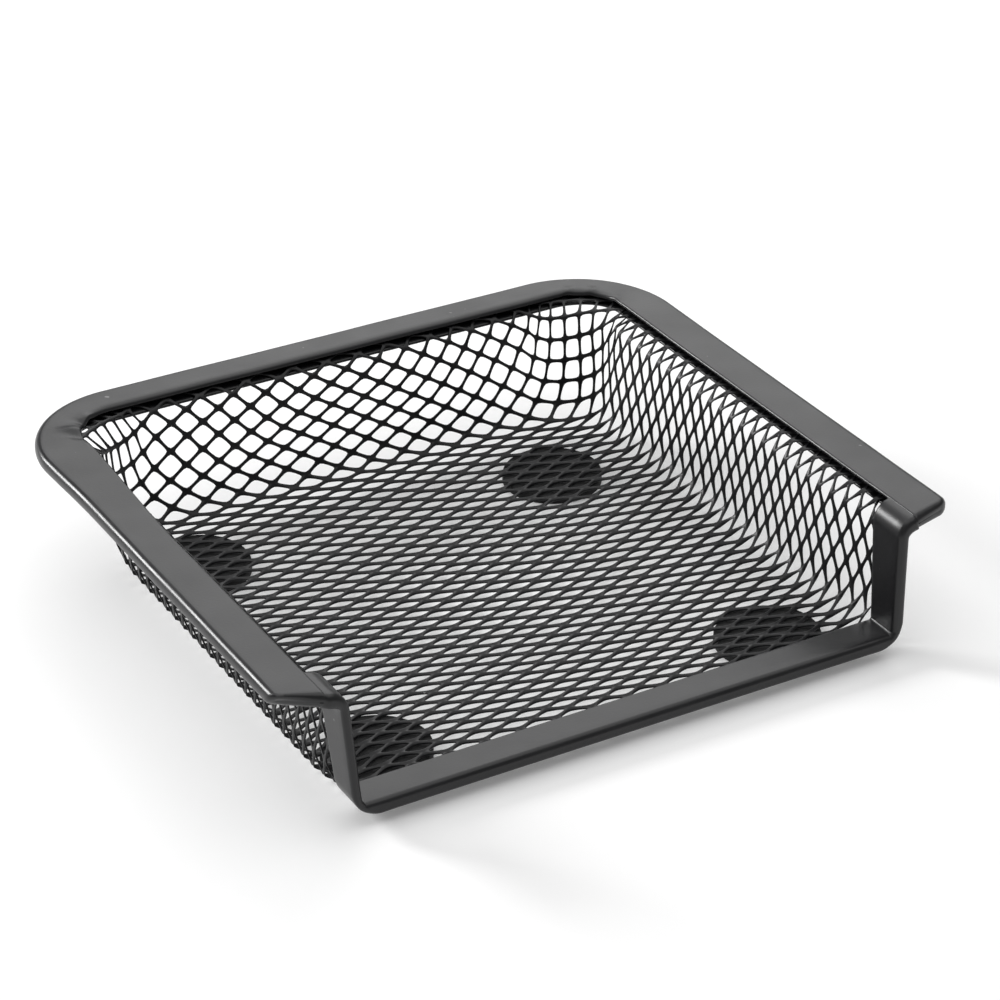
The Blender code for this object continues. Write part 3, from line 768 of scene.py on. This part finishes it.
def coat_material(name, dark, light, gloss, rough, grain):
    """Satin powder coat: fine orange peel, uneven gloss, slightly uneven colour and a few pale specks."""
    material, tree, shader = node_material(name, gloss)
    broad = noise_node(tree, 140.0, 3.0)
    fine = noise_node(tree, grain, 2.0)
    specks = ramp_node(tree, noise_node(tree, 620.0, 1.0), 0.0, 1.0, 0.80, 0.84)
    colour = colour_node(tree, ramp_node(tree, broad, 0.0, 1.0), dark, light)
    tree.links.new(colour_node(tree, specks, colour, (0.16, 0.16, 0.16)), shader.inputs["Base Color"])
    tree.links.new(ramp_node(tree, broad, *rough), shader.inputs["Roughness"])
    tree.links.new(bump_node(tree, fine, 0.08, 0.0001), shader.inputs["Normal"])
    return material


def pad_material():
    """Dark rubber with a fine open grain."""
    material, tree, shader = node_material("pad_rubber", 0.3)
    fine = noise_node(tree, 3000.0, 3.0)
    colour = colour_node(tree, ramp_node(tree, fine, 0.0, 1.0), (0.010, 0.010, 0.010), (0.022, 0.022, 0.023))
    tree.links.new(colour, shader.inputs["Base Color"])
    tree.links.new(ramp_node(tree, fine, 0.75, 0.92), shader.inputs["Roughness"])
    tree.links.new(bump_node(tree, fine, 0.4, 0.0001), shader.inputs["Normal"])
    return material


# Floor, light and camera.

def seen_directly(tree):
    """1 for rays from the camera, also by way of a reflection or through something clear, and otherwise 0."""
    path = tree.nodes.new("ShaderNodeLightPath")
    total = path.outputs["Is Camera Ray"]
    for name in ("Is Glossy Ray", "Is Transmission Ray"):
        both = tree.nodes.new("ShaderNodeMath")
        both.operation = "MAXIMUM"
        tree.links.new(total, both.inputs[0])
        tree.links.new(path.outputs[name], both.inputs[1])
        total = both.outputs[0]
    return total


def floor_material():
    """White floor that keeps the shadow: a pale surface, and a share of plain white that the camera sees."""
    material = bpy.data.materials.new("white_floor")
    material.use_nodes = True
    tree = material.node_tree
    tree.nodes.remove(tree.nodes["Principled BSDF"])
    surface = tree.nodes.new("ShaderNodeBsdfDiffuse")
    surface.inputs["Color"].default_value = FLOOR_COLOUR
    glow = tree.nodes.new("ShaderNodeEmission")
    glow.inputs["Color"].default_value = WHITE
    strength = ramp_node(tree, seen_directly(tree), 0.0, FLOOR_GLOW, 0.0, 1.0)
    tree.links.new(strength, glow.inputs["Strength"])
    both = tree.nodes.new("ShaderNodeAddShader")
    tree.links.new(surface.outputs[0], both.inputs[0])
    tree.links.new(glow.outputs[0], both.inputs[1])
    tree.links.new(both.outputs[0], tree.nodes["Material Output"].inputs["Surface"])
    return material


def make_floor():
    mesh = bpy.data.meshes.new("floor")
    corners = [(FLOOR_HALF * x, FLOOR_HALF * y, -FLOOR_GAP) for x, y in ((-1, -1), (1, -1), (1, 1), (-1, 1))]
    mesh.from_pydata(corners, [], [(0, 1, 2, 3)])
    mesh.materials.append(floor_material())
    floor = bpy.data.objects.new("floor", mesh)
    bpy.context.scene.collection.objects.link(floor)


def make_world():
    world = bpy.data.worlds.new("studio")
    bpy.context.scene.world = world
    world.use_nodes = True
    shade = world.node_tree.nodes["Background"]
    shade.inputs["Color"].default_value = WHITE
    shade.inputs["Strength"].default_value = WORLD_STRENGTH


def make_lamp(name, place, size, power):
    """A round lamp that faces the middle of the floor."""
    data = bpy.data.lights.new(name, "AREA")
    data.shape = "DISK"
    data.size = size
    data.energy = power
    lamp = bpy.data.objects.new(name, data)
    bpy.context.scene.collection.objects.link(lamp)
    lamp.location = place
    lamp.rotation_euler = (-Vector(place)).to_track_quat("-Z", "Y").to_euler()


def make_camera():
    """The photograph's camera, as fitted to the tray's edges."""
    data = bpy.data.cameras.new("camera")
    data.sensor_width = CAMERA_SENSOR
    data.lens = CAMERA_LENS
    camera = bpy.data.objects.new("camera", data)
    bpy.context.scene.collection.objects.link(camera)
    camera.location = CAMERA_PLACE
    camera.rotation_euler = (math.radians(90.0 - CAMERA_DOWN), 0.0, math.radians(CAMERA_TURN))
    bpy.context.scene.camera = camera


def main():
    bpy.context.scene.view_settings.view_transform = "Standard"
    mesh_coat = coat_material("mesh_coat", dark=(0.004, 0.004, 0.005), light=(0.009, 0.009, 0.010),
                              gloss=0.3, rough=(0.30, 0.42), grain=2500.0)
    strip_coat = coat_material("strip_coat", dark=(0.005, 0.005, 0.006), light=(0.010, 0.010, 0.011),
                               gloss=0.44, rough=(0.28, 0.36), grain=2200.0)
    rubber = pad_material()
    make_mesh(mesh_coat)
    make_rim(strip_coat)
    make_channel(strip_coat)
    for node in ("foot_front_left", "foot_front_right", "foot_back_left", "foot_back_right"):
        make_pad(node, rubber)
    make_floor()
    make_world()
    for lamp in LAMPS:
        make_lamp(*lamp)
    make_camera()


main()
